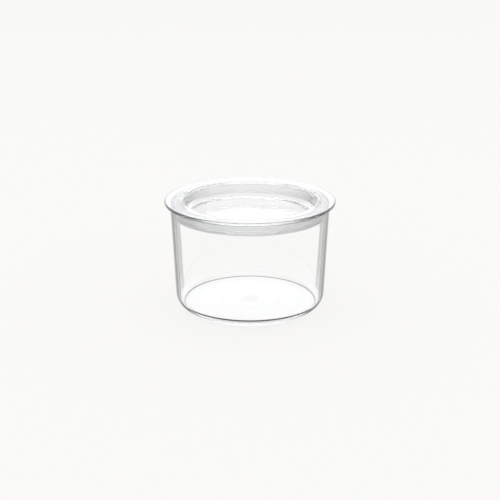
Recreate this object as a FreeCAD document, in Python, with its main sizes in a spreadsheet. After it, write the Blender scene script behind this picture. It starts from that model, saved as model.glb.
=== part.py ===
import FreeCAD, Part
import os
import Sketcher

# A low round glass canister: a blown jar with a rounded heel, a flanged glass
# lid that is dished in the middle, and a silicone ring round the lid's plug.
# Millimetres, +Z up, origin where the jar's axis meets the table.

doc = FreeCAD.newDocument("canister")
sizes = doc.addObject("Spreadsheet::Sheet", "Sizes")

SIZES = [
    # jar
    ("jar_height", "60.0"),
    ("jar_rim_radius", "44.3"),
    ("jar_foot_radius", "41.7"),
    ("jar_wall", "2.2"),
    ("jar_floor", "3.2"),
    ("heel_radius", "8.7"),
    ("inner_heel_radius", "4.6"),
    ("rim_rounding", "0.8"),
    ("foot_ring_width", "4.0"),
    ("push_up_height", "0.5"),
    # lid
    ("flange_overhang", "3.2"),
    ("flange_thickness", "1.8"),
    ("flange_rounding", "0.8"),
    ("plug_wall", "2.4"),
    ("plug_below_ring", "1.75"),
    ("plug_corner_radius", "3.6"),
    ("plug_root_radius", "0.4"),
    ("recess_draft", "0.4"),
    ("recess_corner_radius", "5.4"),
    ("mouth_rounding", "0.9"),
    ("lid_floor", "1.7"),
    # sealing ring
    ("ring_chamfer", "0.6"),
    ("ring_core_thickness", "1.9"),
    ("ring_clearance", "0.15"),
    ("lip_reach", "0.46"),
    ("lip_slope", "0.35"),
    ("top_lip_drop", "1.0"),
    ("top_lip_height", "2.8"),
    ("groove_height", "1.7"),
    ("bottom_lip_height", "0.85"),
    ("bottom_lip_setback", "0.3"),
    # largest rounding as a share of its wall
    ("rounding_share", "0.45"),
]

# Sizes that follow from the ones above. The lid and the ring take theirs from
# the jar's mouth, and no rounding takes up more than its wall.
DERIVED = [
    ("wall_taper", "=(jar_rim_radius - jar_foot_radius) / jar_height"),
    ("jar_mouth_radius", "=jar_rim_radius - jar_wall"),
    ("floor_corner_radius", "=jar_foot_radius - jar_wall + wall_taper * jar_floor"),
    ("push_up_radius", "=jar_foot_radius - heel_radius - foot_ring_width"),
    ("rim_edge_radius", "=min(rim_rounding; jar_wall * rounding_share)"),
    ("bottom_lip_top", "=bottom_lip_setback + bottom_lip_height"),
    ("groove_bottom", "=bottom_lip_top + lip_slope"),
    ("top_lip_bottom", "=bottom_lip_top + groove_height"),
    ("groove_top", "=top_lip_bottom - lip_slope"),
    ("top_lip_top", "=top_lip_bottom + top_lip_height"),
    ("ring_height", "=top_lip_top + top_lip_drop"),
    ("ring_bevel_top", "=ring_height - ring_chamfer"),
    ("top_lip_radius",
     "=jar_mouth_radius - wall_taper * (ring_height - top_lip_bottom) - ring_clearance"),
    ("bottom_lip_radius", "=jar_mouth_radius - wall_taper * ring_height - ring_clearance"),
    ("ring_core_radius", "=bottom_lip_radius - lip_reach"),
    ("plug_radius", "=ring_core_radius - ring_core_thickness"),
    ("ring_bevel_radius", "=plug_radius + ring_chamfer"),
    ("plug_height", "=ring_height + plug_below_ring"),
    ("lid_height", "=plug_height + flange_thickness"),
    ("flange_radius", "=jar_rim_radius + flange_overhang"),
    ("flange_edge_radius", "=min(flange_rounding; flange_thickness * rounding_share)"),
    ("recess_mouth_radius", "=plug_radius - plug_wall"),
    ("recess_foot_radius", "=recess_mouth_radius - recess_draft"),
]

row = 0
for name, value in SIZES + DERIVED:
    row += 1
    sizes.set("A%d" % row, name)
    sizes.set("B%d" % row, value)
    sizes.setAlias("B%d" % row, name)
doc.recompute()


def value_of(name):
    """A size in millimetres; no name stands for zero."""
    return float(sizes.get(name)) if name else 0.0


def new_body(label, lift):
    """A body standing on its own origin, lifted to its height in the canister."""
    body = doc.addObject("PartDesign::Body", label)
    body.Label = label
    body.Placement = FreeCAD.Placement()
    if lift:
        body.setExpression("Placement.Base.z", lift)
    return body


def half_section(body, name, corners, domed=False):
    """Closed half section through (radius, height) corners named in the sheet.
    A domed section has an arc, centred on the axis, from its last corner to its first."""
    sketch = body.newObject("Sketcher::SketchObject", name)
    plane = [f for f in body.Origin.OriginFeatures if f.Role == "XZ_Plane"][0]
    sketch.AttachmentSupport = [(plane, "")]
    sketch.MapMode = "FlatFace"
    points = [FreeCAD.Vector(value_of(r), value_of(z), 0) for r, z in corners]
    count = len(points)
    straight = count - 1 if domed else count
    for i in range(straight):
        sketch.addGeometry(Part.LineSegment(points[i], points[(i + 1) % count]), False)
    for i in range(count - 1):
        if i + 1 < straight:
            sketch.addConstraint(Sketcher.Constraint("Coincident", i, 2, i + 1, 1))
    if domed:
        crown, edge = points[0], points[-1]
        radius = (edge.x ** 2 + crown.y ** 2) / (2 * crown.y)
        centre = FreeCAD.Vector(0, crown.y - radius, 0)
        circle = Part.Circle(centre, FreeCAD.Vector(0, 0, 1), radius)
        start = circle.parameter(edge)
        sketch.addGeometry(Part.ArcOfCircle(circle, start, circle.parameter(crown)), False)
        sketch.addConstraint(Sketcher.Constraint("Coincident", straight - 1, 2, straight, 1))
        sketch.addConstraint(Sketcher.Constraint("Coincident", straight, 2, 0, 1))
        sketch.addConstraint(Sketcher.Constraint("PointOnObject", straight, 3, -2))
    else:
        sketch.addConstraint(Sketcher.Constraint("Coincident", count - 1, 2, 0, 1))
    for i, (r, z) in enumerate(corners):
        geometry, end = (i, 1) if i < straight else (straight - 1, 2)
        for kind, axis, size in (("DistanceX", -2, r), ("DistanceY", -1, z)):
            if not size:
                sketch.addConstraint(Sketcher.Constraint("PointOnObject", geometry, end, axis))
                continue
            held = sketch.addConstraint(
                Sketcher.Constraint(kind, -1, 1, geometry, end, value_of(size)))
            sketch.setExpression("Constraints[%d]" % held, "Sizes.%s" % size)
    return sketch


def turned(body, name, sketch):
    """The half section turned once round the axis."""
    solid = body.newObject("PartDesign::Revolution", name)
    solid.Profile = sketch
    solid.ReferenceAxis = (sketch, ["V_Axis"])
    solid.Angle = 360
    doc.recompute()
    return solid


def rounded(body, before, name, radius, edges):
    """Fillets the circular edges that lie at the named radius and height."""
    picked = []
    for r, z in edges:
        for i, edge in enumerate(before.Shape.Edges):
            if edge.Degenerated or not isinstance(edge.Curve, Part.Circle):
                continue
            curve = edge.Curve
            if abs(curve.Radius - value_of(r)) < 1e-4 and abs(curve.Center.z - value_of(z)) < 1e-4:
                picked.append("Edge%d" % (i + 1))
    if len(picked) != len(edges):
        raise RuntimeError("%s found %d of %d edges" % (name, len(picked), len(edges)))
    fillet = body.newObject("PartDesign::Fillet", name)
    fillet.Base = (before, picked)
    fillet.setExpression("Radius", "Sizes.%s" % radius)
    doc.recompute()
    return fillet


# The jar: one wall of even thickness that widens a little towards its rim,
# turns in at a rounded heel and closes in a thicker floor. The underside is
# domed up very slightly, so the jar stands on a flat ring.
jar = new_body("jar", None)
jar_section = half_section(jar, "jar_section", [
    (None, "push_up_height"),
    (None, "jar_floor"),
    ("floor_corner_radius", "jar_floor"),
    ("jar_mouth_radius", "jar_height"),
    ("jar_rim_radius", "jar_height"),
    ("jar_foot_radius", None),
    ("push_up_radius", None),
], domed=True)
jar_turned = turned(jar, "jar_turned", jar_section)
jar_heel = rounded(jar, jar_turned, "jar_heel", "heel_radius",
                   [("jar_foot_radius", None)])
jar_inner_heel = rounded(jar, jar_heel, "jar_inner_heel", "inner_heel_radius",
                         [("floor_corner_radius", "jar_floor")])
jar_rim = rounded(jar, jar_inner_heel, "jar_rim", "rim_edge_radius",
                  [("jar_mouth_radius", "jar_height"), ("jar_rim_radius", "jar_height")])

# The lid: a flange that rests on the jar's rim and overhangs it, and a hollow
# plug below it whose inside is the round recess in the top.
lid = new_body("lid", "Sizes.jar_height - Sizes.plug_height")
lid_section = half_section(lid, "lid_section", [
    (None, None),
    ("plug_radius", None),
    ("plug_radius", "plug_height"),
    ("flange_radius", "plug_height"),
    ("flange_radius", "lid_height"),
    ("recess_mouth_radius", "lid_height"),
    ("recess_foot_radius", "lid_floor"),
    (None, "lid_floor"),
])
lid_turned = turned(lid, "lid_turned", lid_section)
lid_edge = rounded(lid, lid_turned, "lid_edge", "flange_edge_radius",
                   [("flange_radius", "plug_height"), ("flange_radius", "lid_height")])
lid_plug = rounded(lid, lid_edge, "lid_plug", "plug_corner_radius",
                   [("plug_radius", None)])
lid_recess = rounded(lid, lid_plug, "lid_recess", "recess_corner_radius",
                     [("recess_foot_radius", "lid_floor")])
lid_mouth = rounded(lid, lid_recess, "lid_mouth", "mouth_rounding",
                    [("recess_mouth_radius", "lid_height")])
lid_root = rounded(lid, lid_mouth, "lid_root", "plug_root_radius",
                   [("plug_radius", "plug_height")])

# The sealing ring: soft silicone stretched round the plug, up against the
# flange, with a broad upper lip and a narrow lower lip that meet the jar.
ring = new_body("ring", "Sizes.jar_height - Sizes.ring_height")
ring_section = half_section(ring, "ring_section", [
    ("ring_bevel_radius", None),
    ("ring_core_radius", None),
    ("bottom_lip_radius", "bottom_lip_setback"),
    ("bottom_lip_radius", "bottom_lip_top"),
    ("ring_core_radius", "groove_bottom"),
    ("ring_core_radius", "groove_top"),
    ("top_lip_radius", "top_lip_bottom"),
    ("top_lip_radius", "top_lip_top"),
    ("ring_core_radius", "ring_height"),
    ("ring_bevel_radius", "ring_height"),
    ("plug_radius", "ring_bevel_top"),
    ("plug_radius", "ring_chamfer"),
])
ring_turned = turned(ring, "ring_turned", ring_section)

doc.recompute()
for item in doc.Objects:
    for state in item.State:
        if state in ("Invalid", "Error"):
            raise RuntimeError("%s is %s" % (item.Name, state))

os.makedirs("parts", exist_ok=True)
for body in (jar, lid, ring):
    shape = body.Shape
    if shape.isNull() or not shape.isValid() or len(shape.Solids) != 1:
        raise RuntimeError("%s is not one valid solid" % body.Label)
for body in (jar, lid, ring):
    body.Shape.exportStep("parts/%s.step" % body.Label)
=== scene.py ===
import math

import bpy
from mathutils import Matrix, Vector


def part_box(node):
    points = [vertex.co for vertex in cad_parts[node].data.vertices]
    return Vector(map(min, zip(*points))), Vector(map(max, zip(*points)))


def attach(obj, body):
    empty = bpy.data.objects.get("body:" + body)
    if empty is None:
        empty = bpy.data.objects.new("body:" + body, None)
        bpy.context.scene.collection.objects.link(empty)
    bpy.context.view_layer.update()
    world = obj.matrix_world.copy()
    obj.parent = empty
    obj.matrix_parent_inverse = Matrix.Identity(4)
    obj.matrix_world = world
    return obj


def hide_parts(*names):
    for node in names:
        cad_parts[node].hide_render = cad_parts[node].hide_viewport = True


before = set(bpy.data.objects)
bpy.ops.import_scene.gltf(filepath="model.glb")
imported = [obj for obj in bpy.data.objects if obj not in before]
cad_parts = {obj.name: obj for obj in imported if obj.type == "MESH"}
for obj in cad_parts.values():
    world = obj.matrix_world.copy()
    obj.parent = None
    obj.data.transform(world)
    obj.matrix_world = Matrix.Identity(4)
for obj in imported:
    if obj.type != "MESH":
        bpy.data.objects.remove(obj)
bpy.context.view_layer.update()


# The jar: one blown and spun glass wall, a little wider at the rim, that turns
# in at a rounded heel to a thicker floor. Its rim is fire-polished. Its colour is a
# little darker in faint rings and a small mark round the middle of the floor, and it
# holds painted shade where the glass is seen edge on and painted shadow round the heel.
def rounded_line(corners, step=5.0):
    """Points (radius, height) along corners given as (radius, height, rounding),
    with a point about every step degrees round each of the roundings."""
    line = []
    for i, (r, z, rounding) in enumerate(corners):
        here = Vector((r, z))
        if not rounding or i in (0, len(corners) - 1):
            line.append(here)
            continue
        back = (Vector(corners[i - 1][:2]) - here).normalized()
        on = (Vector(corners[i + 1][:2]) - here).normalized()
        half = back.angle(on) / 2
        centre = here + (back + on).normalized() * (rounding / math.sin(half))
        start = here + back * (rounding / math.tan(half)) - centre
        end = here + on * (rounding / math.tan(half)) - centre
        turn = math.atan2(start.x * end.y - start.y * end.x, start.dot(end))
        pieces = max(2, round(abs(math.degrees(turn)) / step))
        for k in range(pieces + 1):
            a = turn * k / pieces
            line.append(centre + Vector((start.x * math.cos(a) - start.y * math.sin(a),
                                         start.x * math.sin(a) + start.y * math.cos(a))))
    return line


def filled_in(line, longest):
    """The same line with points added, so that no stretch is longer than longest."""
    full = [line[0]]
    for a, b in zip(line, line[1:]):
        parts = max(1, math.ceil((b - a).length / longest))
        for k in range(1, parts + 1):
            full.append(a.lerp(b, k / parts))
    return full


SIDES = 320
ON_AXIS = 1e-7


def spun(name, line, closed=False):
    """A piece turned round the axis from the line. Points on the axis become poles,
    and a closed line is joined from its last point back to its first."""
    verts, rings = [], []
    for p in line:
        if p.x < ON_AXIS:
            rings.append([len(verts)])
            verts.append((0, 0, p.y))
            continue
        rings.append(range(len(verts), len(verts) + SIDES))
        for k in range(SIDES):
            turn = 2 * math.pi * k / SIDES
            verts.append((p.x * math.cos(turn), p.x * math.sin(turn), p.y))
    faces = []
    pairs = list(zip(rings, rings[1:]))
    if closed:
        pairs.append((rings[-1], rings[0]))
    for a, b in pairs:
        for k in range(SIDES):
            n = (k + 1) % SIDES
            if len(a) == 1:
                faces.append((a[0], b[n], b[k]))
            elif len(b) == 1:
                faces.append((a[k], a[n], b[0]))
            else:
                faces.append((a[k], a[n], b[n], b[k]))
    mesh = bpy.data.meshes.new(name)
    mesh.from_pydata(verts, [], faces)
    mesh.shade_smooth()
    piece = bpy.data.objects.new(name, mesh)
    bpy.context.scene.collection.objects.link(piece)
    even = piece.modifiers.new("even_shading", "WEIGHTED_NORMAL")
    even.keep_sharp = False
    return piece


def fill(tree, node, inputs):
    """Gives a node its inputs, each of them a value or another node's output."""
    for name, value in inputs.items():
        if isinstance(value, bpy.types.NodeSocket):
            tree.links.new(value, node.inputs[name])
        else:
            node.inputs[name].default_value = value


def add_node(tree, kind, inputs=None, **settings):
    """A new node with its settings and inputs. Gives back its outputs."""
    node = tree.nodes.new(kind)
    for name, value in settings.items():
        setattr(node, name, value)
    fill(tree, node, inputs or {})
    return node.outputs


def maths(tree, operation, *values):
    """The result of a sum on values, each of them a number or a node's output."""
    inputs = dict(enumerate(values))
    return add_node(tree, "ShaderNodeMath", inputs, operation=operation)["Value"]


def glass_surface_group():
    """Faint uneven colour, wiping haze and soft ripple that every glass piece has, and
    how each spot lies. Facing Up and Facing Out go from 0, turned the other way, to 1.
    Radius is in tenths of a metre, and Level, the height, is in hundredths."""
    group = bpy.data.node_groups.new("glass_surface", "ShaderNodeTree")
    for way, label, kind in (("INPUT", "Ripple Size", "Float"), ("INPUT", "Haze", "Float"),
                             ("INPUT", "Tint", "Color"), ("INPUT", "Deep Tint", "Color"),
                             ("OUTPUT", "Color", "Color"), ("OUTPUT", "Roughness", "Float"),
                             ("OUTPUT", "Height", "Float"), ("OUTPUT", "Facing Up", "Float"),
                             ("OUTPUT", "Facing Out", "Float"), ("OUTPUT", "Radius", "Float"),
                             ("OUTPUT", "Level", "Float")):
        group.interface.new_socket(label, in_out=way, socket_type="NodeSocket" + kind)
    given = add_node(group, "NodeGroupInput")
    place = add_node(group, "ShaderNodeTexCoord")["Object"]
    ripple = add_node(group, "ShaderNodeTexNoise", {
        "Vector": place, "Scale": given["Ripple Size"], "Detail": 1.0})["Fac"]
    smear = add_node(group, "ShaderNodeTexNoise", {
        "Vector": place, "Scale": 240.0, "Detail": 3.0})["Fac"]
    colour = add_node(group, "ShaderNodeMix", {
        "Factor": ripple, "A": given["Tint"], "B": given["Deep Tint"]}, data_type="RGBA")["Result"]
    normal = add_node(group, "ShaderNodeNewGeometry")["True Normal"]
    up = add_node(group, "ShaderNodeSeparateXYZ", {"Vector": normal})["Z"]
    from_axis = add_node(group, "ShaderNodeVectorMath", {
        0: place, 1: (10, 10, 0)}, operation="MULTIPLY")["Vector"]
    away = add_node(group, "ShaderNodeVectorMath", {0: from_axis}, operation="NORMALIZE")["Vector"]
    outward = add_node(group, "ShaderNodeVectorMath", {
        0: normal, 1: away}, operation="DOT_PRODUCT")["Value"]
    radius = add_node(group, "ShaderNodeVectorMath", {0: from_axis}, operation="LENGTH")["Value"]
    height = add_node(group, "ShaderNodeSeparateXYZ", {"Vector": place})["Z"]
    add_node(group, "NodeGroupOutput", {
        "Color": colour,
        "Roughness": maths(group, "MULTIPLY", smear, given["Haze"]),
        "Height": ripple,
        "Facing Up": maths(group, "MULTIPLY_ADD", up, 0.5, 0.5),
        "Facing Out": maths(group, "MULTIPLY_ADD", outward, 0.5, 0.5),
        "Radius": radius,
        "Level": maths(group, "MULTIPLY", height, 100.0),
    })
    return group


def ramp(tree, reading, stops):
    """Colours that follow a reading, from (reading, colour) stops."""
    node = tree.nodes.new("ShaderNodeValToRGB")
    marks = node.color_ramp.elements
    for mark, (at, colour) in zip((marks[0], marks[1]), (stops[0], stops[-1])):
        mark.position = at
        mark.color = colour
    for at, colour in stops[1:-1]:
        marks.new(at).color = colour
    tree.links.new(reading, node.inputs["Fac"])
    return node.outputs["Color"]


def shades(tree, reading, stops):
    """Greys, a little cool, from (reading, grey) stops. They paint shade into the glass's colour
    and mark the zones that the painted shade keeps to.
    """
    return ramp(tree, reading, [
        (at, (grey ** 1.03, grey ** 1.015, grey, 1)) for at, grey in stops])


def clear_glass(name, ripple_depth, painted_shade, coat=0.0):
    """Borosilicate glass, a little uneven, with painted shade multiplied into its colour.
    Each mark of painted shade is (what the shades go by, the shades, the zones they keep
    to), and each zone is (what it goes by, its stops), with None where the reading is the zone."""
    material = bpy.data.materials.new(name)
    material.use_nodes = True
    tree = material.node_tree
    surface = add_node(tree, "ShaderNodeGroup", {
        "Tint": (1, 1, 1, 1), "Deep Tint": (0.985, 0.993, 1, 1),
        "Ripple Size": 45.0, "Haze": 0.01}, node_tree=GLASS_SURFACE)
    ripple = add_node(tree, "ShaderNodeBump", {
        "Strength": 1.0, "Distance": ripple_depth, "Height": surface["Height"]})["Normal"]
    # how nearly edge on each spot is seen, made a little uneven; the painted shade follows it
    facing = add_node(tree, "ShaderNodeLayerWeight", {"Blend": 0.5})["Facing"]
    uneven = maths(tree, "MULTIPLY_ADD", surface["Height"], 0.05, facing)
    inside = add_node(tree, "ShaderNodeNewGeometry")["Backfacing"]
    readings = {"Edge On": maths(tree, "SUBTRACT", uneven, 0.025), "Inside": inside,
                "Radius": surface["Radius"], "Level": surface["Level"]}
    # a face met from behind gives its normal turned round, and it is turned back here
    for label in ("Facing Up", "Facing Out"):
        turned = maths(tree, "SUBTRACT", inside, surface[label])
        readings[label] = maths(tree, "ABSOLUTE", turned)
    # painted shade is multiplied into the glass's colour one mark at a time, each kept to its
    # zones
    colour = surface["Color"]
    for label, greys, zones in painted_shade:
        share = None
        for place, stops in zones:
            zone = shades(tree, readings[place], stops) if stops else readings[place]
            share = zone if share is None else maths(tree, "MULTIPLY", share, zone)
        colour = add_node(tree, "ShaderNodeMix", {
            "Factor": share, "A": colour, "B": shades(tree, readings[label], greys),
        }, data_type="RGBA", blend_type="MULTIPLY")["Result"]
    fill(tree, tree.nodes["Principled BSDF"], {
        "Base Color": colour, "Roughness": surface["Roughness"], "Normal": ripple,
        "IOR": 1.474, "Transmission Weight": 1.0, "Coat Weight": coat})
    return material


GLASS_SURFACE = glass_surface_group()
GLASS_STEP = 0.0022
JAR_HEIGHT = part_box("jar")[1].z
RIM_RADIUS = 0.0443
FOOT_RADIUS = 0.0417
WALL = 0.0022
FLOOR = 0.0032
PUSH_UP = 0.0005
PUSH_UP_RADIUS = 0.029
PUSH_UP_ROUNDING = 0.008
HEEL_ROUNDING = 0.0087
CAVITY_ROUNDING = 0.0046
RIM_ROUNDING = 0.0008
taper = (RIM_RADIUS - FOOT_RADIUS) / JAR_HEIGHT
jar_line = rounded_line([
    (0, PUSH_UP, 0),
    (PUSH_UP_RADIUS, 0, PUSH_UP_ROUNDING),
    (FOOT_RADIUS, 0, HEEL_ROUNDING),
    (RIM_RADIUS, JAR_HEIGHT, RIM_ROUNDING),
    (RIM_RADIUS - WALL, JAR_HEIGHT, RIM_ROUNDING),
    (FOOT_RADIUS - WALL + taper * FLOOR, FLOOR, CAVITY_ROUNDING),
    (0, FLOOR, 0),
])
jar = spun("jar_glass", filled_in(jar_line, GLASS_STEP))

# the parts of the glass that painted shade can keep to
OUTSIDE = ("Facing Out", ((0.45, 0.0), (0.55, 1.0)))
CAVITY_SIDE = ("Facing Out", ((0.45, 1.0), (0.55, 0.0)))
STEEP = ("Facing Up", ((0.16, 0.0), (0.26, 1.0), (0.55, 1.0), (0.65, 0.0)))
HEEL = ("Facing Up", ((0.13, 0.0), (0.2, 1.0), (0.38, 1.0), (0.45, 0.0)))
FLAT = ("Facing Up", ((0.96, 0.0), (0.99, 1.0)))
FROM_GLASS = ("Inside", None)
FROM_AIR = ("Inside", ((0.0, 1.0), (1.0, 0.0)))
RIPPLE_DEPTH = 0.000015
jar_painted_shade = (
    # painted shade where the wall is seen edge on, at its outer face and at the face in the cavity
    ("Edge On", ((0.66, 1.0), (0.68, 0.3), (0.74, 0.25), (0.77, 0.02), (1.0, 0.01)),
     (STEEP, OUTSIDE)),
    ("Edge On", ((0.66, 1.0), (0.68, 0.3), (1.0, 0.25)), (STEEP, CAVITY_SIDE)),
    # painted shade where the heel is seen edge on
    ("Edge On", ((0.62, 1.0), (0.72, 0.03), (1.0, 0.01)), (HEEL, OUTSIDE)),
    # two rings of painted shadow round the heel, for the table's shade under it: the upper
    # where it is met from the air, and the lower where it is met from within the glass
    ("Level", ((0.495, 1.0), (0.515, 0.01), (0.605, 0.01), (0.625, 1.0)), (FROM_AIR, OUTSIDE)),
    ("Level", ((0.09, 1.0), (0.105, 0.15), (0.16, 0.15), (0.18, 1.0)), (FROM_GLASS, OUTSIDE)),
    # the mark in the middle of the floor, and the faint rings round it
    ("Radius", ((0.02, 0.86), (0.05, 0.9), (0.07, 1.0), (0.14, 1.0), (0.17, 0.95),
                (0.19, 1.0), (0.235, 0.97), (0.25, 1.0), (0.29, 0.96), (0.32, 0.97)), (FLAT,)),
)
jar.data.materials.append(clear_glass("jar_glass", RIPPLE_DEPTH, jar_painted_shade))
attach(jar, "root")
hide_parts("jar")


# The sealing ring: soft clear-white silicone, moulded in one piece and stretched
# round the lid's plug. A broad lip and a narrow lip face the jar's wall, a little
# clear of it.
# pieces that touch are drawn a hair apart, so that no two faces lie in one place
HAIR = 0.00002
RING_STEP = 0.0008
ring_low, ring_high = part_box("ring")
RING_TOP = ring_high.z
RING_FOOT = ring_low.z
PLUG_RADIUS = 0.0393
BORE_RADIUS = PLUG_RADIUS + HAIR
BEVEL = 0.0005
FOOT_BEVEL = 0.0003
CORE_RADIUS = 0.0412
LOWER_LIP_RADIUS = 0.04166
LOWER_LIP = (0.0003, 0.00115)
GROOVE = (0.0015, 0.0025)
UPPER_LIP_RADIUS = 0.04178
UPPER_LIP = (0.00285, 0.00565)
# the line starts and ends on the bore, at these heights
SEAM = (0.0030, 0.0031)
ring_line = rounded_line([
    (BORE_RADIUS, RING_FOOT + SEAM[0], 0),
    (BORE_RADIUS, RING_FOOT + FOOT_BEVEL, 0.0002),
    (PLUG_RADIUS + BEVEL, RING_FOOT, 0.0003),
    (CORE_RADIUS, RING_FOOT, 0.0003),
    (LOWER_LIP_RADIUS, RING_FOOT + LOWER_LIP[0], 0.00025),
    (LOWER_LIP_RADIUS, RING_FOOT + LOWER_LIP[1], 0.00025),
    (CORE_RADIUS, RING_FOOT + GROOVE[0], 0.0002),
    (CORE_RADIUS, RING_FOOT + GROOVE[1], 0.0002),
    (UPPER_LIP_RADIUS, RING_FOOT + UPPER_LIP[0], 0.0003),
    (UPPER_LIP_RADIUS, RING_FOOT + UPPER_LIP[1], 0.0006),
    (CORE_RADIUS, RING_TOP - HAIR, 0.0003),
    (PLUG_RADIUS + BEVEL, RING_TOP - HAIR, 0.0003),
    (BORE_RADIUS, RING_TOP - BEVEL, 0.0002),
    (BORE_RADIUS, RING_FOOT + SEAM[1], 0),
], step=15.0)
ring = spun("sealing_ring", filled_in(ring_line, RING_STEP), closed=True)

silicone = bpy.data.materials.new("clear_white_silicone")
silicone.use_nodes = True
tree = silicone.node_tree
place = add_node(tree, "ShaderNodeTexCoord")["Object"]
split = add_node(tree, "ShaderNodeSeparateXYZ", {"Vector": place})
from_axis = add_node(tree, "ShaderNodeCombineXYZ", {"X": split["X"], "Y": split["Y"]})["Vector"]
radius = add_node(tree, "ShaderNodeVectorMath", {0: from_axis}, operation="LENGTH")["Value"]
bore = add_node(tree, "ShaderNodeMapRange", {
    "Value": radius, "From Min": PLUG_RADIUS + 0.0001, "From Max": PLUG_RADIUS + 0.0004,
    "To Min": 0.55, "To Max": 0.32})["Result"]
cloud = add_node(tree, "ShaderNodeTexNoise", {
    "Vector": place, "Scale": 160.0, "Detail": 3.0})["Fac"]
milk = add_node(tree, "ShaderNodeMix", {
    "Factor": cloud, "A": (1, 1, 1, 1), "B": (0.975, 0.98, 0.985, 1)}, data_type="RGBA")["Result"]
fill(tree, tree.nodes["Principled BSDF"], {
    "Base Color": milk, "Roughness": maths(tree, "MULTIPLY_ADD", cloud, 0.08, bore),
    "IOR": 1.41, "Transmission Weight": 1.0})
ring.data.materials.append(silicone)
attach(ring, "root")
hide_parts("ring")


# The lid: a pressed glass disc that rests on the rim and overhangs it, with a
# hollow plug below. The plug's inside is the round recess in the lid's top.
lid_low, lid_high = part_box("lid")
LID_TOP = lid_high.z
PLUG_FOOT = lid_low.z
FLANGE_RADIUS = 0.0475
FLANGE_FOOT = JAR_HEIGHT + HAIR
FLANGE_ROUNDING = 0.0008
PLUG_ROUNDING = 0.0036
ROOT_ROUNDING = 0.0004
RECESS_MOUTH_RADIUS = 0.0369
RECESS_FOOT_RADIUS = 0.0365
LID_FLOOR = 0.0017
RECESS_FLOOR = PLUG_FOOT + LID_FLOOR
RECESS_ROUNDING = 0.0054
MOUTH_ROUNDING = 0.0009
lid_line = rounded_line([
    (0, PLUG_FOOT, 0),
    (PLUG_RADIUS, PLUG_FOOT, PLUG_ROUNDING),
    (PLUG_RADIUS, FLANGE_FOOT, ROOT_ROUNDING),
    (FLANGE_RADIUS, FLANGE_FOOT, FLANGE_ROUNDING),
    (FLANGE_RADIUS, LID_TOP, FLANGE_ROUNDING),
    (RECESS_MOUTH_RADIUS, LID_TOP, MOUTH_ROUNDING),
    (RECESS_FOOT_RADIUS, RECESS_FLOOR, RECESS_ROUNDING),
    (0, RECESS_FLOOR, 0),
])
lid = spun("lid_glass", filled_in(lid_line, GLASS_STEP))

NOT_TOPS = ("Facing Up", ((0.65, 1.0), (0.85, 0.0)))
NOT_UNDERSIDES = ("Facing Up", ((0.02, 0.0), (0.05, 1.0)))
RIM_OF_FLANGE = ("Radius", ((0.464, 0.0), (0.468, 1.0)))
LID_RIPPLE_DEPTH = 0.000006
LID_COAT = 1.0
lid_painted_shade = (
    # painted shade where the plug and the flange's edge are seen edge on
    ("Edge On", ((0.66, 1.0), (0.675, 0.35), (0.70, 0.22), (0.76, 0.2), (0.84, 0.02),
                 (1.0, 0.01)), (NOT_TOPS, OUTSIDE)),
    # painted shade on the flange's outermost millimetre
    ("Edge On", ((0.1, 1.0), (0.22, 0.2), (0.5, 0.1), (0.7, 0.02), (1.0, 0.01)),
     (RIM_OF_FLANGE, NOT_UNDERSIDES)),
    # painted shade on the plug's rounded corner, where it is met from within the glass
    ("Facing Up", ((0.004, 1.0), (0.02, 0.8), (0.15, 0.7), (0.225, 0.7), (0.29, 1.0)),
     (FROM_GLASS, OUTSIDE)),
)
lid.data.materials.append(clear_glass("lid_glass", LID_RIPPLE_DEPTH, lid_painted_shade, LID_COAT))
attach(lid, "root")
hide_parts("lid")


# The studio: a wide pale table, a pale room with a soft light overhead, and the
# camera a little above the lid.
PALE = (0.947, 0.939, 0.922, 1)
REACH = 6
TABLE_DROP = 0.00005
table_mesh = bpy.data.meshes.new("table")
table_mesh.from_pydata(
    [(-REACH, -REACH, 0), (REACH, -REACH, 0), (REACH, REACH, 0), (-REACH, REACH, 0)],
    [], [(0, 1, 2, 3)])
table = bpy.data.objects.new("table", table_mesh)
table.location.z = -TABLE_DROP
bpy.context.scene.collection.objects.link(table)
paper = bpy.data.materials.new("pale_table")
paper.use_nodes = True
tree = paper.node_tree
tree.nodes.remove(tree.nodes["Principled BSDF"])
matt = add_node(tree, "ShaderNodeBsdfDiffuse", {"Color": PALE})["BSDF"]
glow = add_node(tree, "ShaderNodeEmission", {"Color": PALE})["Emission"]
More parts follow.
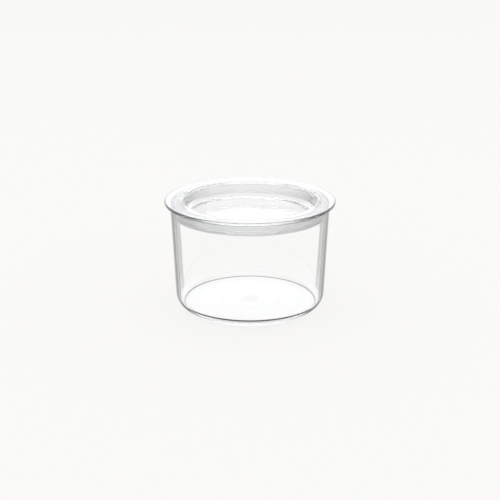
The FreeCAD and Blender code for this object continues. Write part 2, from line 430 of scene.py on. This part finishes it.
# seen in or through the glass the table only glows, and seen straight a tenth of it
# is lit, which holds the shadow
ray = add_node(tree, "ShaderNodeLightPath")
in_glass = maths(tree, "MAXIMUM", ray["Is Glossy Ray"], ray["Is Transmission Ray"])
direct = maths(tree, "MULTIPLY", ray["Is Camera Ray"], 0.9)
plain = maths(tree, "MAXIMUM", in_glass, direct)
blend = add_node(tree, "ShaderNodeMixShader", {"Fac": plain, 1: matt, 2: glow})["Shader"]
fill(tree, tree.nodes["Material Output"], {"Surface": blend})
table.data.materials.append(paper)

# the room is brighter partway up its walls than overhead
room = bpy.data.worlds.new("room")
bpy.context.scene.world = room
room.use_nodes = True
tree = room.node_tree
way = add_node(tree, "ShaderNodeTexCoord")["Generated"]
height = add_node(tree, "ShaderNodeSeparateXYZ", {"Vector": way})["Z"]
walls = [(0.0, PALE), (0.02, PALE)]
for at, shade in ((0.12, 1.1), (0.2, 1.3), (0.34, 1.3), (0.5, 1.1), (0.68, 0.8), (1.0, 0.8)):
    walls.append((at, (0.985 * shade, 0.995 * shade, 1.015 * shade, 1)))
fill(tree, tree.nodes["Background"], {"Color": ramp(tree, height, walls)})

LAMP_SIZE = 1.8
LAMP_POWER = 5.5
LAMP_HEIGHT = 1.1
lamp_data = bpy.data.lights.new("soft_lamp", "AREA")
lamp_data.size = LAMP_SIZE
lamp_data.energy = LAMP_POWER
lamp = bpy.data.objects.new("soft_lamp", lamp_data)
lamp.location = (0, 0, LAMP_HEIGHT)
bpy.context.scene.collection.objects.link(lamp)

# light crosses many faces of glass before it gets out
BOUNCES = 40
light = bpy.context.scene.cycles
light.max_bounces = BOUNCES
light.glossy_bounces = BOUNCES
light.transmission_bounces = BOUNCES

LENS = 76.6
SENSOR = 36.0
NEAREST = 0.01
CAMERA_TILT = math.radians(18.62)
CAMERA_DISTANCE = 0.6
AIM_HEIGHT = 0.03173
camera_data = bpy.data.cameras.new("camera")
camera_data.lens = LENS
camera_data.sensor_width = SENSOR
camera_data.clip_start = NEAREST
camera = bpy.data.objects.new("camera", camera_data)
bpy.context.scene.collection.objects.link(camera)
toward_camera = Vector((0, -math.cos(CAMERA_TILT), math.sin(CAMERA_TILT)))
camera.location = Vector((0, 0, AIM_HEIGHT)) + CAMERA_DISTANCE * toward_camera
camera.rotation_euler = (math.pi / 2 - CAMERA_TILT, 0, 0)
bpy.context.scene.camera = camera
bpy.context.scene.view_settings.view_transform = "Standard"
